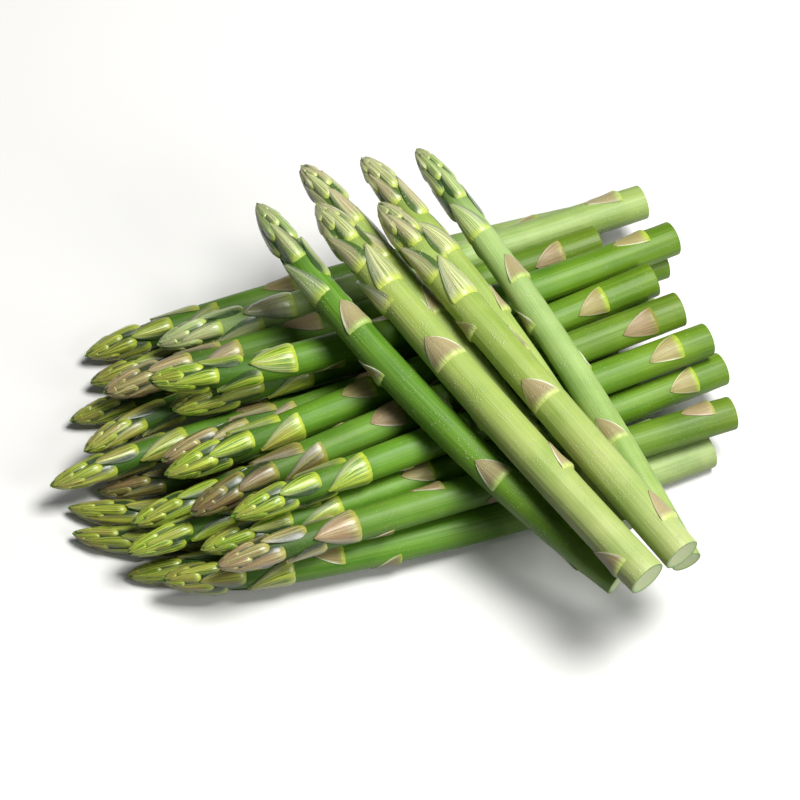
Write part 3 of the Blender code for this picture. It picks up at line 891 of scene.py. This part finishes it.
# cut end: moist pale flesh dotted with fibres, inside a green rind
fleshFinish = {
    "coat": 0.0,
    "stops": ((0.0, "D2E0A0"), (0.68, "CEDE98"), (0.84, "AECE78"), (0.92, "6A9A3C"), (0.98, "4C7A28")),
    "fibreCell": 1.25,  # millimetres: real fibres are finer, and these are as coarse as they show
    "fibreColour": "E0E8C0",
    "roughness": 0.35,
    "fibreBump": (0.5, 0.0003),
}


def cutFlesh(name):
    finish = fleshFinish
    material, tree, shader, _, marks, place = startSkin(name, finish["coat"])
    flesh = addNode(tree, "ShaderNodeValToRGB", {"stops": finish["stops"]}, {0: marks[0]}).outputs[0]
    cells = addNode(tree, "ShaderNodeTexVoronoi", {}, {
        "Vector": place, "Scale": 1000.0 / finish["fibreCell"]}).outputs["Distance"]
    dots = addNode(tree, "ShaderNodeMapRange", {}, {
        0: cells, 1: 0.15, 2: 0.40, 3: 0.4, 4: 0.0}).outputs[0]
    colour = addNode(tree, "ShaderNodeMix", rgba, {
        0: dots, 6: flesh, 7: finish["fibreColour"]}).outputs[2]
    tree.links.new(colour, shader.inputs["Base Color"])
    shader.inputs["Roughness"].default_value = finish["roughness"]
    strength, height = finish["fibreBump"]
    bump = addNode(tree, "ShaderNodeBump", {}, {
        "Height": dots, "Strength": strength, "Distance": height})
    tree.links.new(bump.outputs[0], shader.inputs["Normal"])
    return material


flesh = cutFlesh("cutFlesh")
skins = {}
for name, look in looks.items():
    title = name.capitalize()
    skins[name] = (
        stemSkin("stemSkin" + title, look),
        scaleSkin("headScale" + title, look, False),
        scaleSkin("bract" + title, look, True),
        flesh,
    )
print("skins made:", len(skins), "looks")

growthRng = random.Random(growth["seed"])
rng = random.Random(growth["finerSeed"])
total = 0
for spear in spears:
    piece = growSpear(spear, growthRng, rng, skins[spear.look])
    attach(piece, "root")
    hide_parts(spear.node)
    total += sum(len(p.vertices) - 2 for p in piece.data.polygons)
print("spears made:", total, "triangles")
for template in templates:
    bpy.data.objects.remove(template, do_unlink=True)

# floor, sky, lights and camera, in metres and watts
studio = {
    "floorSize": 8.0,
    "floorColour": (0.86, 0.86, 0.85, 1.0),
    "floorRoughness": 0.9,
    "skyColour": (0.93, 0.96, 1.0, 1.0),
    "skyLight": 0.08,
    "skySeen": 0.8,  # the sky behind the floor is pale, and lights little
    "lightsAimAt": (0.0, 0.0, 0.02),
    "lights": (  # name, place, size, power, colour
        ("keyLight", (0.52, 0.0, 1.30), 0.60, 24.5, (1.0, 0.99, 0.96)),
        ("fillLight", (0.80, -0.60, 0.62), 0.5, 5.5, (1.0, 1.0, 0.98)),
    ),
    "elevation": 54.0,
    "distance": 1.65,
    "lens": 187.1,
    "sensor": 36.0,
}
deselectAll()
bpy.ops.mesh.primitive_plane_add(size=studio["floorSize"], location=(0.0, 0.0, 0.0))
floor = bpy.context.object
floor.name = "studioFloor"
floorPaint = bpy.data.materials.new("paleFloor")
floorPaint.use_nodes = True
paint = floorPaint.node_tree.nodes["Principled BSDF"].inputs
paint["Base Color"].default_value = studio["floorColour"]
paint["Roughness"].default_value = studio["floorRoughness"]
floor.data.materials.append(floorPaint)
floor.visible_diffuse = False  # it throws no light up between the spears

world = bpy.data.worlds.new("softSky")
bpy.context.scene.world = world
world.use_nodes = True
sky = world.node_tree
seen = addNode(sky, "ShaderNodeLightPath", {}, {}).outputs["Is Camera Ray"]
strength = addNode(sky, "ShaderNodeMapRange", {}, {
    0: seen, 3: studio["skyLight"], 4: studio["skySeen"]}).outputs[0]
sky.nodes["Background"].inputs[0].default_value = studio["skyColour"]
sky.links.new(strength, sky.nodes["Background"].inputs[1])

bpy.context.scene.view_settings.view_transform = "Standard"
for name, place, size, power, colour in studio["lights"]:
    bpy.ops.object.light_add(type="AREA", location=place)
    light = bpy.context.object
    light.name = name
    light.data.size = size
    light.data.energy = power
    light.data.color = colour
    toAim = Vector(studio["lightsAimAt"]) - Vector(place)
    light.rotation_euler = toAim.to_track_quat("-Z", "Y").to_euler()

target = Vector((shift[0], shift[1], 0.0)) * mm  # where the rows of the heap are measured from
tilt = math.radians(studio["elevation"])
back = Vector((0.0, -math.cos(tilt), math.sin(tilt)))
bpy.ops.object.camera_add(location=target + back * studio["distance"])
camera = bpy.context.object
camera.rotation_euler = (math.pi / 2 - tilt, 0.0, 0.0)
camera.data.lens = studio["lens"]
camera.data.sensor_width = studio["sensor"]
camera.data.sensor_fit = "HORIZONTAL"
bpy.context.scene.camera = camera
print("studio set:", len(studio["lights"]), "lights, floor, sky and camera")
